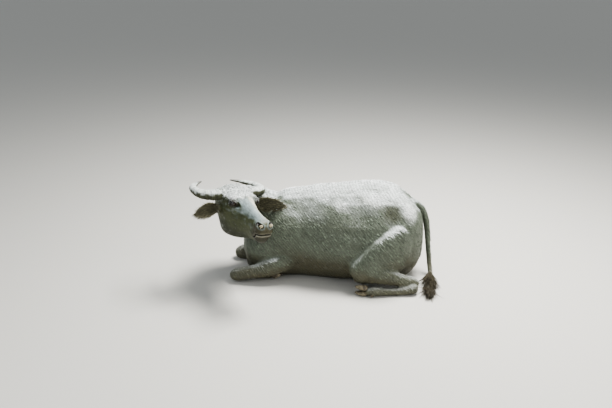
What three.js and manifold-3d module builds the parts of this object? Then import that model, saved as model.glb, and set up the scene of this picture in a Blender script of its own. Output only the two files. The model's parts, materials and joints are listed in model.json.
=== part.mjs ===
// A water buffalo lying at rest with its head turned to its left, life size.
// Millimetres, +Z up. The body is laid out with x from the head end to the tail,
// y to the animal's right and z up from the floor; x = y = 0 is under the withers.
import * as THREE from 'three';
import { mergeVertices } from 'three/addons/utils/BufferGeometryUtils.js';
import Module from 'manifold-3d';

const wasm = await Module();
wasm.setup();

// The narrow space kept between two pieces that meet.
const gap = 0.3;

// The head: its poll, the way it is turned, tipped and rolled, and its size.
const poll = { x: -393, y: -148, z: 731 };
const headYaw = 32.5;
const headPitch = 7.8;
const headRoll = -8.5;
const headScale = 1.028;

// The eye.
const eyeRadius = 22;
const eyePlace = { x: 77, y: 184, z: -36 };
const eyeAxis = { x: 0.86, y: 0.4, z: 0.26 };
const lidLength = 27;
const lidHeight = 15;

// The mouth, the nostrils and the rope through the nose.
const mouthHeight = -108;
const mouthFall = 24;
const mouthDepth = 7;
const lipGap = 4.5;
const nostril = { x: 36, y: 468, z: -52 };
const noseRopeRadius = 6;

// The tail's switch.
const lockCount = 12;
const lockLength = 230;
const lockWidth = 19;
const lockThickness = 6;

const v = (x, y, z) => new THREE.Vector3(x, y, z);

const colours = {
  hide: { color: 0x8e8f7e, roughness: 0.72 },
  face: { color: 0x77755f, roughness: 0.66 },
  ear: { color: 0x5c5547, roughness: 0.8 },
  horn: { color: 0x8b887c, roughness: 0.55 },
  eye: { color: 0x17120e, roughness: 0.12 },
  hoof: { color: 0x3c3831, roughness: 0.5 },
  hair: { color: 0x3a352c, roughness: 0.85 },
  rope: { color: 0xb9b097, roughness: 0.85 },
};

// Repeatable draws for the small differences between like pieces.
let seed = 7;
function draw(low, high) {
  seed = (seed * 16807) % 2147483647;
  return low + (high - low) * (seed / 2147483647);
}

// Smooth values between the rows of a table. The first number of a row is its place.
function curveOf(rows) {
  const size = rows[0].length - 1;
  const places = rows.map((row) => row[0]);
  const values = rows.flatMap((row) => row.slice(1));
  const cubic = new THREE.CubicInterpolant(places, values, size, new Float64Array(size));
  return (place) => Array.from(cubic.evaluate(place));
}

const signedPower = (value, power) => Math.sign(value) * Math.abs(value) ** power;

// A closed skin over rings of points, with a fan of faces at each end.
function skinOver(rings) {
  const cols = rings[0].length;
  const middle = (ring) => ring.reduce((sum, p) => sum.add(p), v(0, 0, 0)).divideScalar(cols);
  const points = [...rings.flat(), middle(rings[0]), middle(rings.at(-1))];
  const first = points.length - 2;
  const last = points.length - 1;
  const faces = [];
  for (let col = 0; col < cols; col += 1) {
    const next = (col + 1) % cols;
    faces.push(first, next, col);
    for (let row = 0; row < rings.length - 1; row += 1) {
      const a = row * cols + col;
      const b = row * cols + next;
      faces.push(a, b, b + cols, a, b + cols, a + cols);
    }
    const end = (rings.length - 1) * cols;
    faces.push(last, end + col, end + next);
  }
  return solidFrom(points, faces);
}

// A solid from points and triangles, turned so that its faces point out.
function solidFrom(points, faces) {
  let volume = 0;
  for (let i = 0; i < faces.length; i += 3) {
    const [a, b, c] = [points[faces[i]], points[faces[i + 1]], points[faces[i + 2]]];
    volume += a.dot(v(0, 0, 0).crossVectors(b, c));
  }
  const geometry = new THREE.BufferGeometry().setFromPoints(points);
  geometry.setIndex(volume > 0 ? faces : faces.toReversed());
  return toManifold(geometry);
}

function toManifold(source) {
  const geometry = source.clone();
  geometry.deleteAttribute('normal');
  geometry.deleteAttribute('uv');
  const merged = mergeVertices(geometry, 1e-3);
  return new wasm.Manifold(new wasm.Mesh({
    numProp: 3,
    vertProperties: new Float32Array(merged.attributes.position.array),
    triVerts: new Uint32Array(merged.index.array),
  }));
}

// The largest closed surface of a solid, as a three.js geometry.
function toGeometry(solid) {
  const bodies = solid.decompose().sort((a, b) => b.volume() - a.volume());
  const mesh = bodies[0].getMesh();
  const geometry = new THREE.BufferGeometry();
  geometry.setAttribute('position', new THREE.BufferAttribute(new Float32Array(mesh.vertProperties), 3));
  geometry.setIndex(new THREE.BufferAttribute(new Uint32Array(mesh.triVerts), 1));
  return geometry;
}

const joined = (solids) => solids.reduce((all, solid) => all.add(solid));
const without = (solid, others) => others.reduce((rest, other) => rest.subtract(other), solid);
const onFloor = (solid) => solid.trimByPlane([0, 0, 1], 0);

// A ring of a squared oval: half widths at its top, middle and foot.
function ovalRing(shape, cols, place) {
  const ring = [];
  for (let col = 0; col < cols; col += 1) {
    const angle = (2 * Math.PI * col) / cols;
    const across = signedPower(Math.cos(angle), 2 / shape.square);
    const high = signedPower(Math.sin(angle), 2 / shape.square);
    const far = high > 0 ? shape.wideTop : shape.wideFoot;
    const half = THREE.MathUtils.lerp(shape.wide, far, high * high);
    const rise = high > 0 ? shape.top - shape.mid : shape.mid - shape.foot;
    ring.push(place(half * across, shape.mid + rise * high));
  }
  return ring;
}

// A rounded tube on a smooth line. Each row is x, y, z, half width and half height.
function limb(rows, options = {}) {
  const { cols = 8, steps = 6, grow = 0, up = v(0, 0, 1), square = 2 } = options;
  const line = new THREE.CatmullRomCurve3(rows.map((row) => v(row[0], row[1], row[2])));
  const girth = curveOf(rows.map((row, i) => [i / (rows.length - 1), row[3] + grow, row[4] + grow]));
  const ringAt = (t, ahead, scale) => {
    const along = line.getTangent(t);
    const side = v(0, 0, 0).crossVectors(along, up).normalize();
    const over = v(0, 0, 0).crossVectors(side, along);
    const [half, rise] = girth(t);
    const middle = line.getPoint(t).addScaledVector(along, (ahead * (half + rise)) / 2);
    const shape = { top: rise * scale, foot: -rise * scale, mid: 0, square };
    shape.wide = half * scale;
    shape.wideTop = shape.wide;
    shape.wideFoot = shape.wide;
    return ovalRing(shape, cols, (a, b) => middle.clone().addScaledVector(side, a).addScaledVector(over, b));
  };
  const rings = [];
  const capAngles = [66, 33];
  for (const angle of capAngles) {
    const turn = THREE.MathUtils.degToRad(angle);
    rings.push(ringAt(0, -Math.sin(turn), Math.cos(turn)));
  }
  for (let step = 0; step <= steps; step += 1) rings.push(ringAt(step / steps, 0, 1));
  for (const angle of capAngles.toReversed()) {
    const turn = THREE.MathUtils.degToRad(angle);
    rings.push(ringAt(1, Math.sin(turn), Math.cos(turn)));
  }
  return skinOver(rings);
}

// Soft swellings and hollows: x, y, z, reach, then how far the skin is pushed.
// Each is repeated on the other side, with the numbers across the body turned round.
function swell(point, rows, axis) {
  const pull = v(0, 0, 0);
  for (const [x, y, z, reach, px, py, pz] of rows) {
    for (const side of [1, -1]) {
      const centre = axis === 'y' ? v(x, y * side, z) : v(x * side, y, z);
      const push = axis === 'y' ? v(px, py * side, pz) : v(px * side, py, pz);
      const near = Math.exp(-point.distanceToSquared(centre) / (reach * reach));
      pull.addScaledVector(push, near);
    }
  }
  return point.add(pull);
}

// The trunk: x, height of the back, of the belly, half width, its height, squareness.
const trunkRows = [
  [-348, 265, 170, 24, 215, 2.0],
  [-338, 318, 100, 72, 212, 2.0],
  [-312, 372, 34, 118, 208, 2.1],
  [-255, 452, -8, 168, 220, 2.2],
  [-160, 560, -24, 212, 255, 2.1],
  [-50, 640, -28, 232, 285, 2.0],
  [80, 663, -30, 240, 295, 1.95],
  [214, 680, -32, 272, 292, 2.1],
  [358, 684, -34, 310, 285, 2.2],
  [500, 697, -34, 336, 280, 2.2],
  [620, 699, -32, 350, 285, 2.2],
  [716, 685, -28, 338, 290, 2.3],
  [791, 652, -20, 314, 290, 2.6],
  [852, 598, 10, 280, 290, 2.9],
  [905, 546, 60, 236, 285, 3.0],
  [942, 488, 120, 186, 285, 2.8],
  [964, 420, 190, 118, 290, 2.4],
  [974, 350, 245, 50, 295, 2.0],
];

// Shoulder blade, point of the shoulder, ribs, hip bone, hollow before the thigh and pin bone.
const trunkSwells = [
  [-70, 175, 470, 130, 0, 20, 0],
  [-255, 150, 250, 95, -12, 26, 0],
  [60, 190, 560, 70, 0, -10, -6],
  [300, 290, 330, 150, 0, 14, 0],
  [470, 255, 575, 80, 0, -16, -12],
  [585, 245, 640, 62, 0, 16, 14],
  [705, 285, 520, 72, 0, -20, -8],
  [835, 225, 500, 78, 6, 18, 8],
  [915, 120, 505, 50, 14, 4, 10],
  [930, 0, 500, 48, -22, 0, -10],
];

function trunk() {
  const at = curveOf(trunkRows);
  const [start, end] = [trunkRows[0][0], trunkRows.at(-1)[0]];
  const rows = 25;
  const rings = [];
  for (let row = 0; row <= rows; row += 1) {
    const t = row / rows;
    const eased = THREE.MathUtils.lerp(t, (1 - Math.cos(Math.PI * t)) / 2, 0.55);
    const x = THREE.MathUtils.lerp(start, end, eased);
    const [top, foot, wide, mid, square] = at(x);
    const shape = { top, foot, wide, wideTop: wide, wideFoot: wide * (x > 420 ? 0.84 : 0.94), mid, square };
    rings.push(ovalRing(shape, 28, (y, z) => swell(v(x, y, z), trunkSwells, 'y')));
  }
  return skinOver(rings);
}

// The neck curves from the chest up and round to the back of the head.
const neckRows = [
  [-30, 0, 380, 150, 190],
  [-165, 4, 430, 160, 204],
  [-284, 2, 476, 146, 194],
  [-366, -40, 530, 122, 166],
  [-398, -104, 568, 102, 140],
  [-386, -166, 590, 86, 114],
];

// The head in its own frame: x to its right, y from the poll to the nose, z out of the brow.
// Each row is y, then top, foot, half widths at the top, middle and foot, the height
// of the middle, and squareness.
const headRows = [
  [-78, -74, -150, 40, 48, 36, -105, 2.2],
  [-60, -38, -196, 78, 86, 66, -105, 2.5],
  [-20, -4, -236, 96, 104, 84, -102, 2.7],
  [40, 10, -264, 98, 111, 94, -100, 2.9],
  [100, 15, -284, 92, 109, 96, -98, 3.0],
  [150, 11, -288, 84, 106, 94, -96, 3.0],
  [185, 5, -284, 72, 99, 90, -100, 3.0],
  [235, -4, -270, 50, 84, 79, -110, 3.0],
  [290, -13, -245, 38, 68, 66, -112, 3.0],
  [345, -19, -218, 34, 57, 55, -106, 2.9],
  [395, -23, -200, 36, 53, 50, -98, 2.8],
  [440, -27, -186, 45, 58, 48, -90, 2.7],
  [470, -38, -178, 48, 60, 46, -88, 2.7],
  [488, -56, -166, 39, 51, 38, -92, 2.6],
  [498, -80, -146, 18, 26, 18, -104, 2.2],
];

// Brow, socket, cheek, corner of the jaw, throat, crown of the forehead, nostril wings, lips and chin.
const headSwells = [
  [86, 156, -2, 34, 9, 0, 8],
  [88, 186, -33, 33, 14, 2, 5],
  [78, 186, -14, 24, 7, 0, 4],
  [74, 226, -62, 26, -8, 0, 0],
  [84, 235, -140, 52, 8, 0, 0],
  [94, 128, -250, 72, 20, 0, -16],
  [58, 205, -220, 46, 5, -8, -10],
  [0, 66, 12, 62, 0, 0, 4],
  [52, 466, -56, 24, 6, 2, 7],
  [30, 484, -104, 22, 0, 4, 0],
  [0, 470, -160, 34, 0, 2, -4],
  [56, 420, -112, 26, 5, 0, 0],
];

function skull(inset) {
  const at = curveOf(headRows);
  const [start, end] = [headRows[0][0] + inset, headRows.at(-1)[0] - inset];
  const rows = 23;
  const rings = [];
  for (let row = 0; row <= rows; row += 1) {
    const t = row / rows;
    const eased = THREE.MathUtils.lerp(t, (1 - Math.cos(Math.PI * t)) / 2, 0.6);
    const y = THREE.MathUtils.lerp(start, end, eased);
    const [top, foot, wideTop, wide, wideFoot, mid, square] = at(y);
    const shape = { mid, square, top: top - inset, foot: foot + inset };
    shape.wide = wide - inset;
    shape.wideTop = wideTop - inset;
    shape.wideFoot = wideFoot - inset;
    rings.push(ovalRing(shape, 26, (x, z) => swell(v(x, y, z), headSwells, 'x')));
  }
  return skinOver(rings);
}

// From the head's own frame to the body's.
const headFrame = (() => {
  const [yaw, pitch, roll] = [headYaw, headPitch, headRoll].map(THREE.MathUtils.degToRad);
  const ahead = v(Math.sin(yaw) * Math.cos(pitch), -Math.cos(yaw) * Math.cos(pitch), -Math.sin(pitch));
  const level = v(-Math.cos(yaw), -Math.sin(yaw), 0);
  const over = v(0, 0, 0).crossVectors(level, ahead);
  const right = level.clone().multiplyScalar(Math.cos(roll)).addScaledVector(over, -Math.sin(roll));
  const up = v(0, 0, 0).crossVectors(right, ahead);
  return new THREE.Matrix4().makeBasis(right, ahead, up)
    .scale(v(headScale, headScale, headScale)).setPosition(poll.x, poll.y, poll.z);
})();
const inBody = (solid) => solid.transform(headFrame.toArray());

// An eyeball and the rim of lids round it, on the side given by 1 or -1.
function eyeball(side, grow) {
  const ball = new THREE.SphereGeometry(eyeRadius + grow, 12, 8);
  ball.translate(eyePlace.x * side, eyePlace.y, eyePlace.z);
  return toManifold(ball);
}

function lidRim(side) {
  const out = v(eyeAxis.x * side, eyeAxis.y, eyeAxis.z).normalize();
  const along = v(0, 0, 1).cross(out).normalize().multiplyScalar(side);
  const over = v(0, 0, 0).crossVectors(out, along).multiplyScalar(side);
  const middle = v(eyePlace.x * side, eyePlace.y, eyePlace.z);
  const steps = 16;
  const cols = 5;
  const points = [];
  for (let step = 0; step < steps; step += 1) {
    const turn = (2 * Math.PI * step) / steps;
    const thick = Math.sin(turn) > 0 ? 6.5 : 5;
    const place = (reach, lift) => {
      const a = (lidLength + reach) * Math.cos(turn);
      const b = (lidHeight + reach) * Math.sin(turn) + 0.12 * a;
      const rise = Math.sqrt(Math.max(0, 32 * 32 - a * a - b * b)) * 0.62 + 4 + lift;
      return middle.clone().addScaledVector(along, a).addScaledVector(over, b).addScaledVector(out, rise);
    };
    for (let col = 0; col < cols; col += 1) {
      const round = (2 * Math.PI * col) / cols;
      points.push(place(thick * Math.cos(round), thick * Math.sin(round)));
    }
  }
  const faces = [];
  for (let step = 0; step < steps; step += 1) {
    for (let col = 0; col < cols; col += 1) {
      const a = step * cols + col;
      const b = step * cols + ((col + 1) % cols);
      const c = ((step + 1) % steps) * cols + col;
      const d = ((step + 1) % steps) * cols + ((col + 1) % cols);
      faces.push(a, b, d, a, d, c);
    }
  }
  return solidFrom(points, faces);
}

// A horn in the head's frame: out to the side, then back. Each row is x, y, z,
// half width in the plane of its curve and half its thickness.
function horn(side, grow) {
  const rows = [
    [72, 42, -36, 36, 33],
    [126, 42, -38, 42, 38],
    [176, 33, -42, 38, 34],
    [214, 10, -46, 35, 31],
    [238, -36, -50, 31, 27],
    [236, -104, -56, 26, 21],
    [189, -182, -66, 18, 14],
    [112, -244, -74, 5, 4],
  ];
  const placed = rows.map(([x, ...rest]) => [x * side, ...rest]);
  return limb(placed, { cols: 10, steps: 11, grow, square: 2.4 });
}

// An ear in the head's frame: a leaf rolled into a cup that opens forward.
// Each row: share of the length, half height, depth of the cup, thickness.
const earRows = [
  [0.0, 22, 22, 9],
  [0.12, 30, 26, 8],
  [0.3, 47, 27, 7],
  [0.5, 55, 24, 7],
  [0.7, 47, 18, 6.5],
  [0.86, 29, 10, 6],
  [0.96, 12, 4, 5],
  [1.0, 4, 1.5, 4],
];
const ears = {
  right: { root: v(104, 64, -124), tip: v(297, 84, -155) },
  left: { root: v(-104, 66, -118), tip: v(-312, 205, -74) },
};

function ear(name, grow) {
  const { root, tip } = ears[name];
  const out = tip.clone().sub(root).normalize();
  const opening = v(0, 1, 0).addScaledVector(out, -out.y).normalize();
  const over = v(0, 0, 0).crossVectors(opening, out).multiplyScalar(out.x > 0 ? -1 : 1);
  const at = curveOf(earRows);
  const rows = 8;
  const arc = 5;
  const rings = [];
  for (let row = 0; row <= rows; row += 1) {
    const t = row / rows;
    const [half, deep, thick] = at(t);
    const middle = root.clone().lerp(tip, t).addScaledVector(over, 10 * Math.sin(Math.PI * t));
    const lay = (angle, more) => middle.clone()
      .addScaledVector(over, (half + more) * Math.sin(angle))
      .addScaledVector(opening, -(deep + more) * Math.cos(angle) + deep * 0.5);
    const ring = [];
    const widest = THREE.MathUtils.degToRad(82);
    for (let i = 0; i <= arc; i += 1) ring.push(lay(THREE.MathUtils.lerp(-widest, widest, i / arc), thick / 2 + grow));
    for (let i = 0; i <= arc; i += 1) {
      const angle = THREE.MathUtils.lerp(widest, -widest, i / arc);
      const inner = middle.clone()
        .addScaledVector(over, (half - thick / 2 - grow) * Math.sin(angle))
        .addScaledVector(opening, -(deep - thick / 2 - grow) * Math.cos(angle) + deep * 0.5);
      ring.push(inner);
    }
    rings.push(ring);
  }
  return skinOver(rings);
}

// A solid plug inside the root of an ear, which closes the cup where it meets the head.
function earRoot(name, grow) {
  const { root, tip } = ears[name];
  const out = tip.clone().sub(root).normalize();
  const start = root.clone().addScaledVector(out, -24);
  const end = root.clone().addScaledVector(out, 6);
  const rows = [[...start.toArray(), 24, 24], [...root.toArray(), 25, 25], [...end.toArray(), 17, 19]];
  return limb(rows, { cols: 9, steps: 2, grow });
}

const wholeEar = (name, grow) => ear(name, grow).add(earRoot(name, grow));

// The slit between the lips: a thin bent sheet less the inside of the muzzle.
function mouthSlit() {
  const rings = [];
  for (let row = 0; row <= 10; row += 1) {
    const y = THREE.MathUtils.lerp(392, 530, row / 10);
    const height = mouthHeight - mouthFall * (Math.min(0, y - 470) / 78) ** 2;
    const ring = [v(-90, y, height - lipGap / 2), v(90, y, height - lipGap / 2)];
    ring.push(v(90, y, height + lipGap / 2), v(-90, y, height + lipGap / 2));
    rings.push(ring);
  }
  return skinOver(rings).subtract(skull(mouthDepth));
}

// A nostril: a short bent hollow, wide in front and running up and back.
function nostrilHollow(side) {
  const rows = [
    [nostril.x * side * 1.42, nostril.y - 16, nostril.z + 12, 8, 9],
    [nostril.x * side * 1.2, nostril.y + 4, nostril.z + 6, 14, 13],
    [nostril.x * side * 0.98, nostril.y + 10, nostril.z - 4, 17, 15],
    [nostril.x * side * 0.72, nostril.y + 8, nostril.z - 10, 12, 11],
  ];
  return limb(rows, { cols: 8, steps: 4 });
}

// The nose rope: through the wall between the nostrils, with a knot in each.
function noseRope(grow) {
  const reach = nostril.x * 0.95;
  const ahead = nostril.y + 6;
  const cord = limb([
    [-reach, ahead, nostril.z - 4, noseRopeRadius, noseRopeRadius],
    [0, ahead - 16, nostril.z - 6, noseRopeRadius, noseRopeRadius],
    [reach, ahead, nostril.z - 4, noseRopeRadius, noseRopeRadius],
  ], { cols: 6, steps: 4, grow, up: v(0, 0, 1) });
  const turns = [];
  for (const side of [1, -1]) {
    const middle = v(reach * side, ahead + 6, nostril.z - 3);
    for (const tilt of [-35, 35]) {
      const loop = new THREE.TorusGeometry(7, 5.5 + grow, 5, 7);
      loop.rotateX(THREE.MathUtils.degToRad(90 + tilt));
      loop.rotateZ(THREE.MathUtils.degToRad(25 * side));
      loop.translate(middle.x, middle.y, middle.z);
      turns.push(toManifold(loop));
    }
  }
  return joined([cord, ...turns]);
}

// The legs, for the side given by 1 (right) or -1 (left).
const forearm = (side, grow) => limb([
  [10, 168 * side, 190, 56, 84],
  [-70, 196 * side, 154, 60, 82],
  [-180, 212 * side, 116, 52, 64],
  [-290, 204 * side, 84, 44, 50],
  [-372, 192 * side, 63, 48, 54],
  [-394, 188 * side, 56, 46, 50],
], { grow });

const foreCannon = (side, grow) => limb([
  [-396, 172 * side, 44, 38, 42],
  [-350, 162 * side, 38, 31, 33],
  [-280, 152 * side, 34, 27, 28],
  [-215, 146 * side, 36, 33, 34],
  [-180, 145 * side, 36, 34, 36],
  [-150, 146 * side, 36, 29, 31],
], { grow });

const thigh = (side, grow) => limb([
  [820, 196 * side, 400, 70, 110],
  [770, 246 * side, 350, 84, 160],
  [670, 290 * side, 262, 88, 172],
  [570, 312 * side, 196, 78, 140],
  [500, 322 * side, 156, 60, 104],
], { cols: 12, steps: 6, grow, square: 2.8 });

// The thigh is parted from the trunk by an oval cut across the haunch.
const haunch = { x: 660, z: 282, long: 262, short: 168, tilt: -40, depth: 130 };
function haunchCut(side, grow) {
  const cut = new THREE.CylinderGeometry(1, 1, 400, 24);
  cut.scale(haunch.long + grow, 1, haunch.short + grow);
  cut.rotateY(THREE.MathUtils.degToRad(haunch.tilt));
  cut.translate(haunch.x, (haunch.depth + 200 - grow) * side, haunch.z);
  return toManifold(cut);
}

const shank = (side, grow) => limb([
  [500, 330 * side, 160, 52, 84],
  [590, 344 * side, 150, 54, 82],
  [690, 352 * side, 126, 46, 64],
  [780, 350 * side, 98, 38, 50],
  [842, 344 * side, 72, 40, 56],
  [866, 340 * side, 62, 38, 50],
], { grow });

const hindCannon = (side, grow) => limb([
  [862, 372 * side, 44, 36, 44],
  [808, 382 * side, 34, 30, 34],
  [720, 390 * side, 30, 26, 28],
  [630, 396 * side, 34, 31, 33],
  [590, 398 * side, 37, 33, 37],
  [552, 400 * side, 36, 28, 31],
], { grow });

// A claw of a cloven hoof: toe along +x, sole down, heel at x = 0.
function claw(length, half, high, grow) {
  const rows = [
    [-4, half * 0.5, high * 0.5],
    [4, half * 0.84, high * 0.8],
    [length * 0.3, half, high],
    [length * 0.62, half * 0.92, high * 0.72],
    [length * 0.88, half * 0.6, high * 0.36],
    [length, half * 0.24, high * 0.16],
  ];
  const rings = rows.map(([x, wide, top]) => {
    const shape = { top: top + grow, foot: -grow, mid: top * 0.42, square: 2.6 };
    shape.wide = wide + grow;
    shape.wideTop = shape.wide * 0.8;
    shape.wideFoot = shape.wide;
    return ovalRing(shape, 8, (y, z) => v(x, y, z));
  });
  return skinOver(rings);
}

// Places a piece made in its own frame: toe direction, direction away from the sole, heel point.
function placed(solid, toe, away, heel) {
  const ahead = toe.clone().normalize();
  const side = v(0, 0, 0).crossVectors(away, ahead).normalize();
  const over = v(0, 0, 0).crossVectors(ahead, side);
  return solid.transform(new THREE.Matrix4().makeBasis(ahead, side, over).setPosition(heel).toArray());
}

const clawSpread = 19;
const foreClaw = (side, inner, grow) => placed(
  claw(78, 18, 50, grow),
  v(1, 0.06 * (inner ? -1 : 1) * side, -0.1),
  v(0.1, 0, -1),
  v(-138, (146 + clawSpread * (inner ? -1 : 1)) * side, 62),
);
const hindClaw = (side, inner, grow) => placed(
  claw(84, 19, 52, grow),
  v(-1, 0, inner ? 0.03 : -0.04),
  v(-0.1, side, 0.1),
  v(540, 372 * side, inner ? 60 : 20),
);

// The tail: down behind the rump to the floor and along it to the left.
const tailRows = [
  [880, 0, 545, 40, 36],
  [935, -2, 520, 34, 32],
  [985, -8, 440, 28, 27],
  [1008, -20, 320, 22, 22],
  [1020, -40, 190, 19, 19],
  [1030, -78, 80, 17, 17],
  [1030, -140, 24, 16, 15],
  [1020, -210, 14, 15, 14],
  [1004, -280, 13, 13, 13],
];
const tailSplit = -150;
const tail = (grow) => limb(tailRows, { cols: 8, steps: 14, grow, up: v(1, 0, 0.2) });

// One flat tapered lock from the end of the tail along the floor.
function lock(start, heading, lift) {
  const length = lockLength * draw(0.72, 1);
  const bend = draw(-0.2, 0.45);
  const rows = 4;
  const rings = [];
  for (let row = 0; row <= rows; row += 1) {
    const t = row / rows;
    const turn = heading + bend * t;
    const along = v(Math.cos(turn), Math.sin(turn), 0);
    const side = v(-along.y, along.x, 0);
    const middle = start.clone().addScaledVector(along, length * t);
    middle.z = THREE.MathUtils.lerp(start.z + lift, 6 + lift * 0.35, t);
    const half = lockWidth * (1 - t ** 2.2) * (0.7 + 0.6 * t) + 1.6;
    const thick = lockThickness * (1 - 0.75 * t);
    rings.push([
      middle.clone().addScaledVector(side, half),
      middle.clone().add(v(0, 0, thick)),
      middle.clone().addScaledVector(side, -half),
      middle.clone().add(v(0, 0, -thick)),
    ]);
  }
  return skinOver(rings);
}

function switchLocks() {
  const locks = [];
  for (let i = 0; i < lockCount; i += 1) {
    const back = draw(0, 46);
    const start = v(1004 + back * 0.25, -280 + back, 13);
    const fan = ((i % 5) - 2) * 0.07;
    locks.push(lock(start, THREE.MathUtils.degToRad(-106) + fan, [-4, 2, 8][i % 3]));
  }
  return locks;
}

// The pieces, joined and cut.
const pieces = [];
const add = (name, finish, solid) => pieces.push({ name, finish, solid });
const sides = { right: 1, left: -1 };

const rope = noseRope(0);
const headParts = [skull(0), lidRim(1), lidRim(-1)];
const headCuts = [mouthSlit(), nostrilHollow(1), nostrilHollow(-1), noseRope(gap)];
for (const [name, side] of Object.entries(sides)) {
  headCuts.push(horn(side, gap), wholeEar(name, gap), eyeball(side, gap));
}
const headWhole = inBody(without(joined(headParts), headCuts));
const neckWhole = limb(neckRows, { cols: 18, steps: 9, square: 2.1 });
const bodyWhole = joined([trunk(), neckWhole, thigh(1, 0), thigh(-1, 0)]);

// The neck starts on a plane through its root, and the head on one behind its jaw.
const rootNormal = v(-0.74, -0.1, 0.66).normalize();
const rootPoint = v(-176, 0, 470);
const rootReach = rootNormal.dot(rootPoint);
const trunkPart = bodyWhole.trimByPlane(rootNormal.clone().negate().toArray(), -rootReach + gap / 2);
const neckPart = bodyWhole.trimByPlane(rootNormal.toArray(), rootReach + gap / 2);

function headBlock(grow) {
  const block = new THREE.BoxGeometry(440, 700, 800);
  block.translate(0, 350 - grow, 0);
  block.rotateX(THREE.MathUtils.degToRad(-34));
  block.translate(0, -34, 0);
  return inBody(toManifold(block));
}
const headHorns = Object.values(sides).map((side) => inBody(horn(side, gap)));
const headEars = Object.keys(sides).map((name) => inBody(wholeEar(name, gap)));
const headSocket = inBody(skull(-gap)).intersect(headBlock(gap));
const neck = without(neckPart, [headSocket, ...headHorns, ...headEars]);
const head = headWhole.intersect(headBlock(0));

const legs = {};
for (const [name, side] of Object.entries(sides)) {
  legs[name] = { forearm: (g) => forearm(side, g), foreCannon: (g) => foreCannon(side, g) };
  Object.assign(legs[name], { haunch: (g) => haunchCut(side, g), shank: (g) => shank(side, g) });
  legs[name].hindCannon = (g) => hindCannon(side, g);
}
const legCuts = Object.values(legs).flatMap((leg) => Object.values(leg).map((part) => part(gap)));
const clawCuts = Object.values(sides).flatMap((side) => [true, false].flatMap((inner) => [
  foreClaw(side, inner, gap), hindClaw(side, inner, gap),
]));

add('torso', 'hide', onFloor(without(trunkPart, [...legCuts, ...clawCuts, tail(gap), ...headEars])));
add('neck', 'hide', neck);
add('head', 'face', head);
for (const [name, side] of Object.entries(sides)) {
  add(`ear_${name}`, 'ear', inBody(wholeEar(name, 0)));
  add(`horn_${name}`, 'horn', inBody(horn(side, 0)));
  add(`eye_${name}`, 'eye', inBody(eyeball(side, 0)));
  const leg = legs[name];
  add(`foreleg_${name}_forearm`, 'hide', onFloor(leg.forearm(0)));
  add(`hindleg_${name}_shank`, 'hide', onFloor(leg.shank(0)));
  add(`hindleg_${name}_thigh`, 'hide', onFloor(bodyWhole.intersect(leg.haunch(0)).subtract(leg.shank(gap))));
  const claws = { fore: foreClaw, hind: hindClaw };
  const feet = { fore: [leg.foreCannon(0), leg.forearm(gap)], hind: [leg.hindCannon(0), leg.shank(gap)] };
  for (const [end, [cannon, above]] of Object.entries(feet)) {
    const cut = [above, claws[end](side, true, gap), claws[end](side, false, gap)];
    add(`${end}leg_${name}_foot`, 'hide', onFloor(without(cannon, cut)));
    add(`${end}_claw_${name}_inner`, 'hoof', onFloor(claws[end](side, true, 0)));
    add(`${end}_claw_${name}_outer`, 'hoof', onFloor(claws[end](side, false, 0)));
  }
}
add('nose_rope', 'rope', inBody(rope));
add('tail_dock', 'hide', tail(0).trimByPlane([0, 1, 0], tailSplit + gap / 2));
const tailEnd = tail(0).trimByPlane([0, -1, 0], -tailSplit + gap / 2);
add('tail_switch', 'hair', onFloor(joined([tailEnd, ...switchLocks()])));

const body = new THREE.Group();
for (const { name, finish, solid } of pieces) {
  const geometry = toGeometry(solid);
  geometry.computeVertexNormals();
  const material = new THREE.MeshStandardMaterial({ ...colours[finish], metalness: 0 });
  const mesh = new THREE.Mesh(geometry, material);
  mesh.name = name;
  body.add(mesh);
}

// The origin is on the floor under the middle of the whole animal.
const reach = new THREE.Box3().setFromObject(body);
const middle = reach.getCenter(v(0, 0, 0));
body.position.set(-middle.x, -middle.y, -reach.min.z);

const group = new THREE.Group();
group.add(body);
export default group;
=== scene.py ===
# A water buffalo lying at rest: one skin over the whole animal, its coat, eyes, horns and hooves
import json
import math

import bpy
import numpy as np
from mathutils import Matrix, Vector
from mathutils.bvhtree import BVHTree

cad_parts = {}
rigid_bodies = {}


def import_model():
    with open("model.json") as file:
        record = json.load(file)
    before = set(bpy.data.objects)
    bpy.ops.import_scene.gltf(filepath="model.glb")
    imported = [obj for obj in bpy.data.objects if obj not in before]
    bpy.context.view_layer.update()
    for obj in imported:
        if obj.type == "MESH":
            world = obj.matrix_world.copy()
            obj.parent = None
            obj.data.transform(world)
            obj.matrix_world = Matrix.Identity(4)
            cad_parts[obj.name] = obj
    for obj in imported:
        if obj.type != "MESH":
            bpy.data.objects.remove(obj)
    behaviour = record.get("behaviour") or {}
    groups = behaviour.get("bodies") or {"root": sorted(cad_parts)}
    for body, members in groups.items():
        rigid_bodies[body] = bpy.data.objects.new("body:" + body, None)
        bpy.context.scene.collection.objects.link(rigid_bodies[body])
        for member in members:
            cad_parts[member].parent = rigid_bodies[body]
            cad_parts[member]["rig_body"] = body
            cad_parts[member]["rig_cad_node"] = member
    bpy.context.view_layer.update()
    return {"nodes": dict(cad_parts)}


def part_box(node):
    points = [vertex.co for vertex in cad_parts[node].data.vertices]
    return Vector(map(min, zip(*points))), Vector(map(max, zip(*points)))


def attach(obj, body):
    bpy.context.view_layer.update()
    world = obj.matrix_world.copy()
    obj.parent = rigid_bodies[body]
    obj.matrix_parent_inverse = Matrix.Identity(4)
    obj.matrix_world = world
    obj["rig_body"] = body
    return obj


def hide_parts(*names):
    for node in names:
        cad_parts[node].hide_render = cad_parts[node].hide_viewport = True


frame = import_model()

draws = np.random.default_rng(11)
mm = 0.001

# The head's place in the frame: it is turned and rolled as one piece, so its own numbers stay simple
headPose = {"yaw": 32.5, "pitch": 7.8, "roll": -8.5, "scale": 1.028, "eye": (77, 184, -36)}
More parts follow.
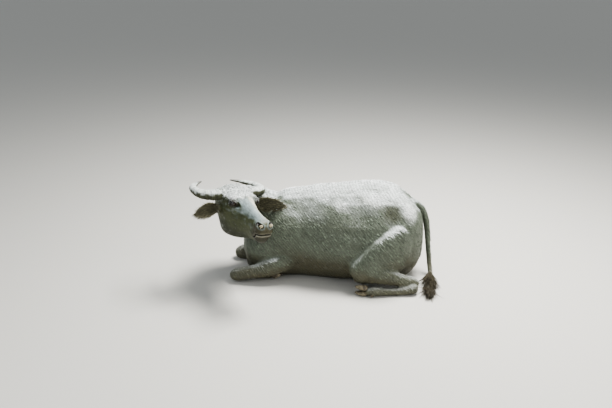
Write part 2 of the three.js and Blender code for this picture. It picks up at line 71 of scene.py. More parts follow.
# The photo's view: a camera on the bank, looking down on the animal
cameraSetup = {"lens": 35, "sensor": 36, "down": 22, "place": (0.114, -4.0127, 2.1546)}


def boxMiddle(node):
    low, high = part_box(node)
    return (low + high) / 2


def headAxes():
    yaw, pitch, roll = (math.radians(headPose[k]) for k in ("yaw", "pitch", "roll"))
    ahead = Vector((math.sin(yaw) * math.cos(pitch), -math.cos(yaw) * math.cos(pitch), -math.sin(pitch)))
    level = Vector((-math.cos(yaw), -math.sin(yaw), 0))
    over = level.cross(ahead)
    right = level * math.cos(roll) - over * math.sin(roll)
    return right, ahead, right.cross(ahead)


headRight, headAhead, headUp = headAxes()
headUnit = headPose["scale"] * mm
eyeMid = (boxMiddle("eye_right") + boxMiddle("eye_left")) / 2
poll = eyeMid - (headAhead * headPose["eye"][1] + headUp * headPose["eye"][2]) * headUnit
headMatrix = np.array([headRight, headAhead, headUp])
# The floor under the withers, which the camera and the tail are placed from
withers = poll - Vector((-0.393, -0.148, 0.731))


def toHead(points):
    # Places in the frame as millimetres right, ahead and up of the poll
    return (np.asarray(points) - np.array(poll)) @ headMatrix.T / headUnit


def fromHead(places):
    return np.asarray(places, float) @ headMatrix * headUnit + np.array(poll)


# Plain tools for meshes


def deselectAll():
    if bpy.context.mode != "OBJECT":
        bpy.ops.object.mode_set(mode="OBJECT")
    bpy.ops.object.select_all(action="DESELECT")


def pick(*objects):
    deselectAll()
    for obj in objects:
        obj.select_set(True)
    bpy.context.view_layer.objects.active = objects[0]


def applyAll(obj):
    pick(obj)
    for modifier in list(obj.modifiers):
        bpy.ops.object.modifier_apply(modifier=modifier.name)


def settle(obj):
    # The finished object sits at the origin, with its place in its mesh
    pick(obj)
    bpy.ops.object.transform_apply(location=True, rotation=True, scale=True)


def getPoints(obj, what="co"):
    data = np.empty(len(obj.data.vertices) * 3)
    obj.data.vertices.foreach_get(what, data)
    return data.reshape(-1, 3)


def setPoints(obj, points):
    obj.data.vertices.foreach_set("co", np.ascontiguousarray(points).ravel())
    obj.data.update()


def getEdges(obj):
    data = np.empty(len(obj.data.edges) * 2, np.int64)
    obj.data.edges.foreach_get("vertices", data)
    return data.reshape(-1, 2)


def smoothStep(low, high, value):
    t = np.clip((value - low) / (high - low), 0, 1)
    return t * t * (3 - 2 * t)


def bell(value, width):
    return np.exp(-((value / width) ** 2))


def relax(values, edges, rounds, weight=1.0):
    # Draws each value towards the mean of its neighbours
    values = np.array(values, float)
    flat = values.reshape(len(values), -1)
    count = np.bincount(edges.ravel(), minlength=len(values)).clip(1)[:, None]
    step = 0.5 * (np.asarray(weight).reshape(-1, 1) if np.ndim(weight) else weight)
    for _ in range(rounds):
        total = np.stack([
            np.bincount(edges[:, 0], flat[edges[:, 1], k], len(values))
            + np.bincount(edges[:, 1], flat[edges[:, 0], k], len(values))
            for k in range(flat.shape[1])
        ], 1)
        flat += step * (total / count - flat)
    return flat.reshape(values.shape)


def relaxObject(obj, rounds, weight=1.0, keep=30):
    # Takes the flats off a form, then gives its volume back
    before = getPoints(obj)
    edges = getEdges(obj)
    after = relax(before, edges, rounds, weight)
    setPoints(obj, after)
    normals = getPoints(obj, "normal")
    lost = relax(((before - after) * normals).sum(1), edges, keep)
    setPoints(obj, after + normals * lost[:, None])


def waves(points, size, seed, turns=5):
    # Soft noise from a few crossing waves, about -1 to 1
    chooser = np.random.default_rng(seed)
    total = np.zeros(len(points))
    for _ in range(turns):
        way = chooser.normal(size=3)
        way *= chooser.uniform(0.7, 1.5) * 2 * math.pi / (size * np.linalg.norm(way))
        total += np.sin(points @ way + chooser.uniform(0, 7) + 1.3 * np.sin(points @ way[[1, 2, 0]] * 0.6))
    return total / turns * 1.4


def copyNodes(name, nodes):
    # One clean mesh from copies of CAD nodes, which stay as they are
    copies = []
    for node in nodes:
        twin = frame["nodes"][node].copy()
        twin.data = twin.data.copy()
        twin.parent = None
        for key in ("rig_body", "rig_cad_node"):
            if key in twin:
                del twin[key]
        bpy.context.scene.collection.objects.link(twin)
        copies.append(twin)
    pick(*copies)
    if len(copies) > 1:
        bpy.ops.object.join()
    obj = bpy.context.view_layer.objects.active
    obj.name = name
    obj.data.name = name
    obj.data.materials.clear()
    bpy.ops.object.mode_set(mode="EDIT")
    bpy.ops.mesh.select_all(action="SELECT")
    bpy.ops.mesh.remove_doubles(threshold=1e-5)
    bpy.ops.object.mode_set(mode="OBJECT")
    return obj


def fuse(obj, grain):
    pick(obj)
    remesh = obj.modifiers.new("fuse", "REMESH")
    remesh.mode = "VOXEL"
    remesh.voxel_size = grain
    applyAll(obj)
    return obj


def joinAll(first, *others):
    pick(first, *others)
    bpy.ops.object.join()
    return first


def shadeSmooth(obj, angle=None):
    pick(obj)
    if angle is None:
        bpy.ops.object.shade_smooth()
    else:
        bpy.ops.object.shade_smooth_by_angle(angle=math.radians(angle))


def selectFaces(obj, chosen):
    # Goes into edit mode with only the chosen faces selected
    pick(obj)
    bpy.ops.object.mode_set(mode="EDIT")
    bpy.ops.mesh.select_mode(type="FACE")
    bpy.ops.mesh.select_all(action="DESELECT")
    bpy.ops.object.mode_set(mode="OBJECT")
    obj.data.polygons.foreach_set("select", chosen)
    bpy.ops.object.mode_set(mode="EDIT")


def faceMiddles(obj):
    data = np.empty(len(obj.data.polygons) * 3)
    obj.data.polygons.foreach_get("center", data)
    return data.reshape(-1, 3)


def setColours(obj, name, colours):
    layer = obj.data.attributes.new(name, "FLOAT_COLOR", "POINT")
    layer.data.foreach_set("color", np.column_stack([colours, np.ones(len(colours))]).ravel())


def srgb(red, green, blue):
    # The photo's colour names as the linear values that the shaders use
    values = np.array([red, green, blue]) / 255
    return tuple(np.where(values < 0.04045, values / 12.92, ((values + 0.055) / 1.055) ** 2.4))


# Shader maths


class Reading:
    # A shader socket that can be used in sums
    def __init__(self, paint, socket):
        self.paint = paint
        self.socket = socket

    def sum(self, operation, first, second):
        return self.paint.node("ShaderNodeMath", {"operation": operation}, {0: first, 1: second})

    def __add__(self, other):
        return self.sum("ADD", self, other)

    def __sub__(self, other):
        return self.sum("SUBTRACT", self, other)

    def __rsub__(self, other):
        return self.sum("SUBTRACT", other, self)

    def __mul__(self, other):
        return self.sum("MULTIPLY", self, other)

    __radd__ = __add__
    __rmul__ = __mul__


class Paint:
    # A material and the nodes that make it
    def __init__(self, name, **fixed):
        self.material = bpy.data.materials.new(name)
        self.material.use_nodes = True
        self.tree = self.material.node_tree
        self.surface = self.tree.nodes["Principled BSDF"]
        for socket, value in fixed.items():
            self.surface.inputs[socket.replace("_", " ")].default_value = value

    def node(self, kind, settings=None, sockets=None, out=0):
        made = self.tree.nodes.new(kind)
        for key, value in (settings or {}).items():
            if key == "stops":
                for extra in range(len(value) - 2):
                    made.color_ramp.elements.new(0.5)
                for stop, (place, colour) in zip(made.color_ramp.elements, value):
                    stop.position = place
                    stop.color = (*colour, 1)
            else:
                setattr(made, key, value)
        for key, value in (sockets or {}).items():
            if isinstance(value, Reading):
                self.tree.links.new(value.socket, made.inputs[key])
            else:
                made.inputs[key].default_value = value
        return Reading(self, made.outputs[out])

    def link(self, reading, socket):
        self.tree.links.new(reading.socket, self.surface.inputs[socket])

    def place(self, stretch=(1, 1, 1), turn=(0, 0, 0)):
        spot = self.node("ShaderNodeTexCoord", out="Object")
        return self.node("ShaderNodeMapping", {}, {"Vector": spot, "Scale": stretch, "Rotation": turn})

    def lie(self, turn, stretch):
        # Places turned first and then drawn out along one axis
        turned = self.place(turn=turn)
        return self.node("ShaderNodeMapping", {}, {"Vector": turned, "Scale": stretch})

    def noise(self, scale, detail=3, rough=0.55, at=None, out=0):
        sockets = {"Scale": scale, "Detail": detail, "Roughness": rough}
        sockets["Vector"] = at or self.place()
        return self.node("ShaderNodeTexNoise", {}, sockets, out=out)

    def span(self, value, low, high, first=0, last=1):
        sockets = {"Value": value, "From Min": low, "From Max": high, "To Min": first, "To Max": last}
        return self.node("ShaderNodeMapRange", {"interpolation_type": "SMOOTHSTEP"}, sockets)

    def blend(self, first, second, factor, way="MIX"):
        settings = {"data_type": "RGBA", "blend_type": way}
        colour = [(*c, 1) if isinstance(c, tuple) else c for c in (first, second)]
        return self.node("ShaderNodeMix", settings, {0: factor, 6: colour[0], 7: colour[1]}, out=2)

    def shaded(self, colour, amount):
        # A colour made lighter or darker by one number
        grey = self.node("ShaderNodeCombineColor", {}, {0: amount, 1: amount, 2: amount})
        return self.blend(colour, grey, 1.0, "MULTIPLY")

    def bump(self, height, distance, strength=1.0, under=None):
        sockets = {"Height": height, "Distance": distance, "Strength": strength}
        if under:
            sockets["Normal"] = under
        return self.node("ShaderNodeBump", {}, sockets)


def addMaterial(obj, paint):
    obj.data.materials.clear()
    obj.data.materials.append(paint.material)


def finishPiece(obj, slot, *nodes):
    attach(obj, "root")
    if nodes:
        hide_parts(*nodes)
    print(f"  {obj.name}: {len(obj.data.loops) - 2 * len(obj.data.polygons)} triangles")


# Camera, floor and light

stageSetup = {
    "floor": 120.0,
    "floorColour": srgb(205, 203, 196),
    "world": 0.4,
    "key": {"place": (1.3, 0.5, 4.2), "size": 1.5, "power": 430, "colour": (1, 0.985, 0.96)},
    "fill": {"place": (-2.6, -3.2, 2.6), "size": 3.5, "power": 50, "colour": (0.93, 0.96, 1)},
    "side": {"place": (3.4, -2.2, 2.2), "size": 2.5, "power": 50, "colour": (1, 0.98, 0.95)},
}


def makeStage():
    print("camera, floor and light")
    camera = bpy.data.objects.new("camera", bpy.data.cameras.new("camera"))
    bpy.context.scene.collection.objects.link(camera)
    camera.data.lens = cameraSetup["lens"]
    camera.data.sensor_width = cameraSetup["sensor"]
    camera.location = withers + Vector(cameraSetup["place"])
    camera.rotation_euler = (math.radians(90 - cameraSetup["down"]), 0, 0)
    bpy.context.scene.camera = camera
    deselectAll()
    bpy.ops.mesh.primitive_plane_add(size=stageSetup["floor"])
    floor = bpy.context.active_object
    floor.name = "floor"
    paint = Paint("floorPaint", Roughness=0.9)
    paint.surface.inputs["Base Color"].default_value = (*stageSetup["floorColour"], 1)
    addMaterial(floor, paint)
    world = bpy.data.worlds.new("studio")
    world.use_nodes = True
    world.node_tree.nodes["Background"].inputs["Color"].default_value = (0.9, 0.95, 1, 1)
    world.node_tree.nodes["Background"].inputs["Strength"].default_value = stageSetup["world"]
    bpy.context.scene.world = world
    bpy.context.scene.view_settings.look = "AgX - Medium High Contrast"
    target = Vector((0, 0, 0.4))
    for name in ("key", "fill", "side"):
        setup = stageSetup[name]
        lamp = bpy.data.lights.new(name, "AREA")
        lamp.size = setup["size"]
        lamp.energy = setup["power"]
        lamp.color = setup["colour"]
        obj = bpy.data.objects.new(name, lamp)
        obj.location = setup["place"]
        obj.rotation_euler = (target - obj.location).to_track_quat("-Z", "Y").to_euler()
        bpy.context.scene.collection.objects.link(obj)


# The skin: every piece of flesh made one

skinSetup = {
    "grain": 4.0 * mm,
    "rounds": 90,
    "coatDepth": 1.5 * mm,
    "finish": 190000,
    "eyeLength": 25,
    "upperLid": 12,
    "lowerLid": 9.5,
    "lidThick": 3.2,
    "lidCurve": 34,
    "lidSink": 12,
    "mouthStart": 398,
    "mouthDepth": 7,
}
fleshNodes = ["torso", "neck", "head", "ear_left", "ear_right", "tail_dock"]
for sideName in ("left", "right"):
    fleshNodes += [f"foreleg_{sideName}_forearm", f"foreleg_{sideName}_foot", f"hindleg_{sideName}_thigh"]
    fleshNodes += [f"hindleg_{sideName}_shank", f"hindleg_{sideName}_foot"]

# The end of the tail on the floor: places from the withers, and half widths, in millimetres
tailEnd = [
    (1008, -20, 320, 22), (1020, -40, 190, 19), (1030, -78, 80, 17),
    (1030, -140, 24, 15), (1020, -210, 15, 13), (1004, -280, 13, 11), (996, -318, 12, 7),
]


def tubeAlong(name, rows, resolution=3):
    # A closed tube from places and radii, made as a curve and turned into a mesh
    curve = bpy.data.curves.new(name, "CURVE")
    curve.dimensions = "3D"
    curve.bevel_depth = 1.0
    curve.bevel_resolution = resolution
    curve.use_fill_caps = True
    curve.resolution_u = 6
    spline = curve.splines.new("NURBS")
    spline.points.add(len(rows) - 1)
    spline.use_endpoint_u = True
    spline.order_u = 4
    for point, (place, radius) in zip(spline.points, rows):
        point.co = (*place, 1)
        point.radius = radius
    obj = bpy.data.objects.new(name, curve)
    bpy.context.scene.collection.objects.link(obj)
    pick(obj)
    bpy.ops.object.convert(target="MESH")
    return bpy.context.view_layer.objects.active


def hornStub(side):
    # The root of a horn, which fills its socket and lifts a collar of skin round it
    name = "right" if side > 0 else "left"
    stub = copyNodes("stub", [f"horn_{name}"])
    pick(stub)
    bpy.ops.object.mode_set(mode="EDIT")
    bpy.ops.mesh.select_all(action="SELECT")
    bpy.ops.mesh.bisect(plane_co=fromHead([[side * 133, 40, -30]])[0], plane_no=headRight * side,
                        use_fill=True, clear_outer=True)
    bpy.ops.mesh.select_all(action="SELECT")
    bpy.ops.mesh.bisect(plane_co=fromHead([[0, -60, 0]])[0], plane_no=headAhead,
                        use_fill=True, clear_inner=True)
    bpy.ops.object.mode_set(mode="OBJECT")
    return stub


# Radius of the ball and how much its clear front stands out, in millimetres
eyeSetup = {"radius": 21.6, "front": 1.5, "reach": 22, "skinGap": 4, "iris": 14.5, "pupil": (7.5, 4.2)}


def eyeFrame(side):
    out = Vector((0.86 * side, 0.4, 0.26)).normalized()
    along = Vector((0, 0, 1)).cross(out).normalized() * side
    over = out.cross(along) * side
    x, y, z = headPose["eye"]
    return np.array((x * side, y, z)), np.array(along), np.array(over), np.array(out)


def nostrilPath(side):
    return np.array([(51, 452, -40), (44, 471, -46), (36, 478, -56), (27, 478, -62)]) * (side, 1, 1)


def distanceToPath(points, path):
    best = np.full(len(points), 1e9)
    share = np.zeros(len(points))
    for i in range(len(path) - 1):
        a, b = path[i], path[i + 1]
        t = np.clip(((points - a) @ (b - a)) / ((b - a) @ (b - a)), 0, 1)
        far = np.linalg.norm(points - a - t[:, None] * (b - a), axis=1)
        share = np.where(far < best, (i + t) / (len(path) - 1), share)
        best = np.minimum(best, far)
    return best, share


# The line between the lips from the side, ahead and up: the upper lip hangs over it behind the front corner
mouthLine = np.array([
    (384, -116), (400, -124), (424, -138), (448, -142), (462, -132), (473, -111), (560, -107),
])


def mouthGap(h):
    # How far a place of the head is above or below the line between the lips
    above = h[:, 2] > np.interp(h[:, 1], mouthLine[:, 0], mouthLine[:, 1])
    return distanceToPath(h[:, 1:], mouthLine)[0] * np.where(above, 1, -1)


def carveHead(h, n):
    # Lids, nostrils, lips and creases, on places and normals in the head's own frame
    h = h.copy()
    for side in (1, -1):
        centre, along, over, out = eyeFrame(side)
        rel = h - centre
        a, b, w = rel @ along, rel @ over, rel @ out
        near = (np.abs(a) < 70) & (np.abs(b) < 55) & (w > -6) & (w < 45)
        lifted = b + 0.12 * a
        tall = np.where(lifted > 0, skinSetup["upperLid"], skinSetup["lowerLid"])
        q = np.sqrt((a / skinSetup["eyeLength"]) ** 2 + (lifted / tall) ** 2)
        flat = np.sqrt(np.clip(skinSetup["lidCurve"] ** 2 - a ** 2 - b ** 2, 0, None)) - skinSetup["lidSink"]
        ball = np.sqrt(np.clip(eyeSetup["reach"] ** 2 - a ** 2 - b ** 2, 9, None)) - eyeSetup["skinGap"]
        lid = flat + skinSetup["lidThick"] * (1 + 0.35 * smoothStep(0, 8, lifted))
        target = ball + (lid - ball) * smoothStep(0.92, 1.1, q)
        target = target + (w - target) * smoothStep(1.3, 2.5, q)
        crease = bell(q - 1.75, 0.13) * np.where(lifted > 0, 2.6, 1.3) * smoothStep(45, 20, np.abs(a))
        crease += bell(q - 2.35, 0.16) * 1.2 * (lifted < 4)
        w2 = np.where(near, target - crease, w)
        h += out * (w2 - w)[:, None]
        far, share = distanceToPath(h, nostrilPath(side))
        reach = np.interp(share, [0, 0.35, 0.7, 1], [7, 12, 14, 10])
        way = np.array([-0.45 * side, -0.86, -0.2])
        h += way * (17 * smoothStep(1.1, 0.45, far / reach))[:, None]
        h += n * (2.6 * bell(far - reach * 1.35, 4.5))[:, None]
        # Wing fold behind each nostril, and the corner of the mouth
        fold = np.abs(distanceToPath(h, np.array([(60 * side, 432, -40), (62 * side, 452, -66)]))[0])
        h -= n * (1.8 * bell(fold, 4))[:, None]
        corner = distanceToPath(h, np.array([(58 * side, 392, -110), (57 * side, 402, -122)]))[0]
        h -= n * (2.2 * bell(corner, 5))[:, None]
    gap = mouthGap(h)
    front = smoothStep(skinSetup["mouthStart"] - 6, skinSetup["mouthStart"] + 14, h[:, 1])
    h -= n * (front * skinSetup["mouthDepth"] * bell(gap, 2.6))[:, None]
    h += n * (front * (3.2 * bell(gap - 10, 6) + 3.6 * bell(gap + 10, 6.5)))[:, None]
    hang = np.linalg.norm((h[:, 1:] - (446, -124)) / (26, 18), axis=1)
    h += n * (5.5 * bell(hang, 1) * (gap > 0) * smoothStep(20, 34, np.abs(h[:, 0])))[:, None]
    # Groove down the middle of the nose and chin, and the wrinkles over the muzzle
    middle = bell(h[:, 0], 3.0) * smoothStep(472, 486, h[:, 1])
    h -= n * (1.6 * middle)[:, None]
    ridges = np.sin((h[:, 1] + 0.3 * np.abs(h[:, 0])) / 2.1) * smoothStep(400, 425, h[:, 1])
    ridges *= smoothStep(462, 440, h[:, 1]) * smoothStep(-96, -70, h[:, 2])
    h += n * (0.55 * ridges)[:, None]
    return h


def brow(h):
    # How much a place belongs to the muddy forehead
    top = smoothStep(-46, -8, h[:, 2]) * smoothStep(215, 130, h[:, 1]) * smoothStep(-70, -20, h[:, 1])
    return top * smoothStep(125, 95, np.abs(h[:, 0]))


def neckFolds(points, normals):
    # Folds on the inner side of the bend, from the throat up towards the crest
    h = toHead(points)
    folds = np.zeros(len(points))
    for i, (start, depth) in enumerate([(-40, 5), (-72, 6), (-106, 5), (-142, 4)]):
        line = h[:, 1] - start - 0.22 * (h[:, 2] + 140) - 6 * np.sin(h[:, 2] / 38 + i)
        folds += depth * bell(line, 7) * smoothStep(40, -60, h[:, 0]) * smoothStep(-20, -90, h[:, 2])
    return folds * smoothStep(-420, -330, h[:, 2]) * smoothStep(0.1, 0.7, -normals[:, 1])


def makeSkin():
    print("skin")
    skin = copyNodes("skin", fleshNodes + ["eye_left", "eye_right"])
    fillers = [hornStub(1), hornStub(-1)]
    rows = [(Vector(place[:3]) * mm + withers, place[3] * mm) for place in tailEnd]
    fillers.append(tubeAlong("tailEnd", rows))
    bridge = [(Vector(fromHead([[x, 462, -58]])[0]), 10 * mm) for x in (-34, -12, 12, 34)]
    fillers.append(tubeAlong("septum", bridge))
    skin = joinAll(skin, *fillers)
    fuse(skin, skinSetup["grain"])
    print("  fused", len(skin.data.vertices))
    points = getPoints(skin)
    h = toHead(points)
    side = np.abs(h[:, 0])
    inHead = smoothStep(-60, 10, h[:, 1]) * smoothStep(180, 150, side) * smoothStep(-330, -290, h[:, 2])
    inEar = smoothStep(112, 130, side) * smoothStep(20, 40, h[:, 1]) * smoothStep(-260, -220, h[:, 2])
    inEar *= smoothStep(260, 240, h[:, 1]) * smoothStep(-30, -50, h[:, 2]) * smoothStep(380, 360, side)
    legs = smoothStep(0.17, 0.1, points[:, 2]) * smoothStep(0.16, 0.2, np.abs(points[:, 1] - withers.y))
    weight = 1 - 0.78 * inHead
    weight *= 1 - 0.6 * legs
    weight = weight * (1 - inEar) + 0.05 * inEar
    relaxObject(skin, skinSetup["rounds"], weight)
    points = getPoints(skin) - getPoints(skin, "normal") * skinSetup["coatDepth"]
    setPoints(skin, points)
    refineFace(skin)
    shapeSkin(skin)
    thinBody(skin)
    shadeSmooth(skin)
    return skin


def refineFace(skin):
    # Finer faces where the lids, nostrils and lips are
    h = toHead(faceMiddles(skin))
    chosen = (h[:, 1] > 388) & (h[:, 1] < 560) & (np.abs(h[:, 0]) < 110) & (h[:, 2] > -230)
    for side in (1, -1):
        rel = h - eyeFrame(side)[0]
        chosen |= np.linalg.norm(rel, axis=1) < 52
    selectFaces(skin, chosen)
    bpy.ops.mesh.subdivide(number_cuts=1, smoothness=0)
    bpy.ops.object.mode_set(mode="OBJECT")


def shapeSkin(skin):
    points = getPoints(skin)
    normals = getPoints(skin, "normal")
    h = toHead(points)
    nearHead = (h[:, 1] > -20) & (h[:, 1] < 560) & (np.abs(h[:, 0]) < 125) & (h[:, 2] > -310) & (h[:, 2] < 60)
    hn = normals[nearHead] @ headMatrix.T
    carved = carveHead(h[nearHead], hn)
    points[nearHead] = fromHead(carved)
    clump = brow(h) * (1.6 * waves(points, 0.022, 3) + 1.2 * waves(points, 0.011, 4))
    soft = 1.5 * waves(points, 0.11, 5) + 0.8 * waves(points, 0.05, 6)
    soft *= smoothStep(10, -60, h[:, 1])
    points += normals * ((clump + soft - neckFolds(points, normals)) * mm)[:, None]
    points[:, 2] = np.maximum(points[:, 2], 1.0 * mm)
    setPoints(skin, points)


def thinBody(skin):
    # Fewer, larger faces where the form is plain
    pick(skin)
    skin.modifiers.new("triangles", "TRIANGULATE")
    applyAll(skin)
    h = toHead(faceMiddles(skin))
    face = (h[:, 1] > -10) & (h[:, 1] < 560) & (np.abs(h[:, 0]) < 380) & (h[:, 2] > -300)
    fine = int(face.sum())
    coarse = len(skin.data.polygons) - fine
    keep = (skinSetup["finish"] - fine) / coarse
    print("  face", fine, "body", coarse, "kept", round(keep, 3))
    selectFaces(skin, ~face)
    bpy.ops.mesh.decimate(ratio=keep)
    bpy.ops.object.mode_set(mode="OBJECT")
    print("  thinned to", len(skin.data.polygons))


# Colours of skin and coat

# Painted light is among these colours: the pale back colour is partly pale mud and partly painted highlight,
# the dry colour is both dried mud and painted highlight, the colours of the underside, the hollows and the
# lower face are painted shade, the nose bridge colour and the pale strip are painted highlights, and the
# darkest colour is the lashes' own and painted shade in the mouth and the nostrils
palette = {
    "backMudAndHighlight": srgb(224, 230, 228), "flank": srgb(106, 114, 101), "under": srgb(64, 62, 48),
    "legs": srgb(92, 88, 71), "hollow": srgb(70, 72, 58), "dryMudAndHighlight": srgb(240, 243, 240),
    "brow": srgb(232, 236, 233), "cheek": srgb(72, 76, 52), "faceShade": srgb(40, 42, 29),
    "bridge": srgb(128, 140, 139), "highlightStrip": srgb(218, 214, 196), "muzzle": srgb(64, 60, 44),
    "earInside": srgb(104, 101, 82), "earBack": srgb(124, 121, 102), "darkHairAndShade": srgb(26, 22, 18),
    "lid": srgb(44, 39, 32), "hair": srgb(70, 62, 48),
}
# Patches: place from the withers and reach in millimetres, colour, share
# The dark patches are painted shade in the hollows in front of the hips and low on the near flank; the pale
# patches on the hips and the top of the back are partly dried mud and partly painted highlight; the patch
# near the withers is a painted highlight on the shoulder
bodyPatches = [
    ((705, -275, 560), (90, 120, 80), "hollow", 0.85), ((832, -215, 566), (62, 120, 90), "dryMudAndHighlight", 0.85),
    ((350, -240, 615), (60, 90, 45), "dryMudAndHighlight", 0.7), ((560, -250, 640), (150, 120, 50), "dryMudAndHighlight", 0.5),
    ((110, -260, 590), (150, 120, 110), "backMudAndHighlight", 0.5), ((300, -340, 480), (260, 120, 60), "hollow", 0.35),
    ((705, 275, 560), (90, 120, 80), "hollow", 0.6), ((832, 215, 566), (62, 120, 90), "dryMudAndHighlight", 0.6),
]


def mixTo(colours, name, share):
    return colours + (np.array(palette[name]) - colours) * np.clip(share, 0, 1)[:, None]


earLines = {1: ((104, 64, -124), (297, 84, -155)), -1: ((-104, 66, -118), (-312, 205, -74))}


def treeOf(node):
    # For finding how near a place is to one CAD node
    obj = frame["nodes"][node]
    places = [obj.matrix_world @ vertex.co for vertex in obj.data.vertices]
    return BVHTree.FromPolygons(places, [face.vertices[:] for face in obj.data.polygons])


earTrees = {1: treeOf("ear_right"), -1: treeOf("ear_left")}


def earShare(h, side):
    # How far a place is on an ear: measured only near it
    far, share = distanceToPath(h, np.array(earLines[side]))
    result = np.zeros(len(h))
    near = np.nonzero((far < 80) & (h[:, 0] * side > 106))[0]
    for i, place in zip(near, fromHead(h[near])):
        result[i] = earTrees[side].find_nearest(Vector(place))[3] / mm
    result[near] = smoothStep(11, 7, result[near]) * smoothStep(0.02, 0.1, share[near])
    return result


def skinTint(points, normals):
    # One set of markings for the skin and the coat, painted light and painted shade among them, and how wet
    # each place is
    p = (points - np.array(withers)) / mm
    h = toHead(points)
    hn = normals @ headMatrix.T
    up = normals[:, 2]
    mottle = waves(points, 0.2, 21)
    fine = waves(points, 0.05, 22)
    colours = np.tile(palette["flank"], (len(points), 1))
    # Painted highlight: skin that faces up is lightened to the pale back colour, which is partly pale mud
    colours = mixTo(colours, "backMudAndHighlight", smoothStep(0.5, 0.95, up + 0.2 * mottle + 0.08 * fine))
    # Painted shade: skin that faces down is darkened
    colours = mixTo(colours, "under", smoothStep(0.15, -0.5, up + 0.1 * mottle))
    colours = mixTo(colours, "legs", 0.75 * smoothStep(260, 70, p[:, 2] + 45 * mottle))
    # Patches of painted shade and painted highlight, the pale ones partly dried mud
    for place, size, name, share in bodyPatches:
        far = np.linalg.norm((p - place) / size, axis=1) + 0.15 * mottle + 0.08 * fine
        colours = mixTo(colours, name, share * smoothStep(1.2, 0.35, far))
    wet = 0.35 + 0.4 * smoothStep(0.5, -0.2, up) + 0.12 * mottle
    head = smoothStep(-34, 24, h[:, 1] + 12 * fine) * smoothStep(142, 126, np.abs(h[:, 0]))
    head *= smoothStep(-345, -310, h[:, 2])
    face = np.tile(palette["cheek"], (len(points), 1))
    # Painted shade: the lower face is darkened
    face = mixTo(face, "faceShade", smoothStep(-140, -225, h[:, 2] + 14 * fine) * 0.8)
    # Painted highlight: the top of the nose bridge is lightened with the bluish bridge colour
    top = smoothStep(0.25, 0.75, hn[:, 2] + 0.1 * fine)
    face = mixTo(face, "bridge", top * smoothStep(150, 220, h[:, 1]) * smoothStep(480, 430, h[:, 1]))
    # Painted highlight in a pale strip down one side of the forehead and nose bridge, where the skin faces up
    highlightStrip = bell(h[:, 0] + 36, 20) * smoothStep(150, 210, h[:, 1]) * smoothStep(476, 430, h[:, 1])
    face = mixTo(face, "highlightStrip", 0.95 * highlightStrip * smoothStep(-0.1, 0.3, hn[:, 2]))
    # Scattered spots of painted highlight on the upper face
    face = mixTo(face, "bridge", 0.25 * smoothStep(0.6, 1, fine + 0.4) * smoothStep(-150, -60, h[:, 2]))
    face = mixTo(face, "brow", smoothStep(0.12, 0.75, brow(h) + 0.25 * fine))
    # The muzzle's own darker skin, laid on fully where it does not face up and at a third where it does: its
    # own colour, with painted shade on its sides and underside
    low = smoothStep(0.75, 0.3, hn[:, 2] + 0.1 * fine)
    face = mixTo(face, "muzzle", smoothStep(418, 448, h[:, 1]) * np.maximum(0.3, low) * 0.9)
    # Painted shade under the front of the muzzle
    face = mixTo(face, "faceShade", smoothStep(425, 450, h[:, 1]) * smoothStep(-118, -140, h[:, 2]) * 0.7)
    gap = mouthGap(h)
    front = smoothStep(392, 410, h[:, 1]) * smoothStep(140, 120, np.abs(h[:, 0]))
    # Painted highlight on the rims of the lips
    rim = bell(gap + 8, 4.5) * smoothStep(466, 478, h[:, 1]) + 0.4 * bell(gap - 7, 4)
    face = mixTo(face, "highlightStrip", front * rim * 0.3)
    # Painted shade in the line between the lips
    face = mixTo(face, "darkHairAndShade", front * bell(gap, 4.5) * 0.95)
    for side in (1, -1):
        centre, along, over, out = eyeFrame(side)
        rel = h - centre
        round_ = np.sqrt((rel @ along / 31) ** 2 + (rel @ over / 19) ** 2)
        near = smoothStep(60, 40, np.linalg.norm(rel, axis=1))
        # Painted shade in the socket round each eye
        face = mixTo(face, "faceShade", near * smoothStep(2.1, 1.2, round_) * 0.75)
        face = mixTo(face, "lid", near * smoothStep(1.25, 0.85, round_))
        far = distanceToPath(h, nostrilPath(side))[0]
        # Painted highlight round the rim of each nostril
        face = mixTo(face, "bridge", 0.5 * bell(far - 19, 4))
        # Painted shade inside each nostril
        face = mixTo(face, "darkHairAndShade", smoothStep(16, 9, far))
    colours += (face - colours) * head[:, None]
    wet = wet + (0.75 + 0.2 * smoothStep(430, 460, h[:, 1]) - 0.4 * brow(h) - wet) * head
    for side in (1, -1):
        ear = earShare(h, side)
        inside = smoothStep(-0.1, 0.35, hn[:, 1])
        shade = mixTo(np.tile(palette["earBack"], (len(points), 1)), "earInside", inside)
        colours += (shade - colours) * ear[:, None]
        wet = wet + (0.4 - wet) * ear
    # Where the horns leave the head the skin is wet, and painted shade darkens it round their roots
    collar = bell(np.abs(h[:, 0]) - 128, 26) * bell(h[:, 1] - 40, 60) * smoothStep(-130, -60, h[:, 2])
    colours = mixTo(colours, "hollow", 0.55 * collar)
    return np.clip(colours, 0, 1), np.clip(wet, 0, 1), head


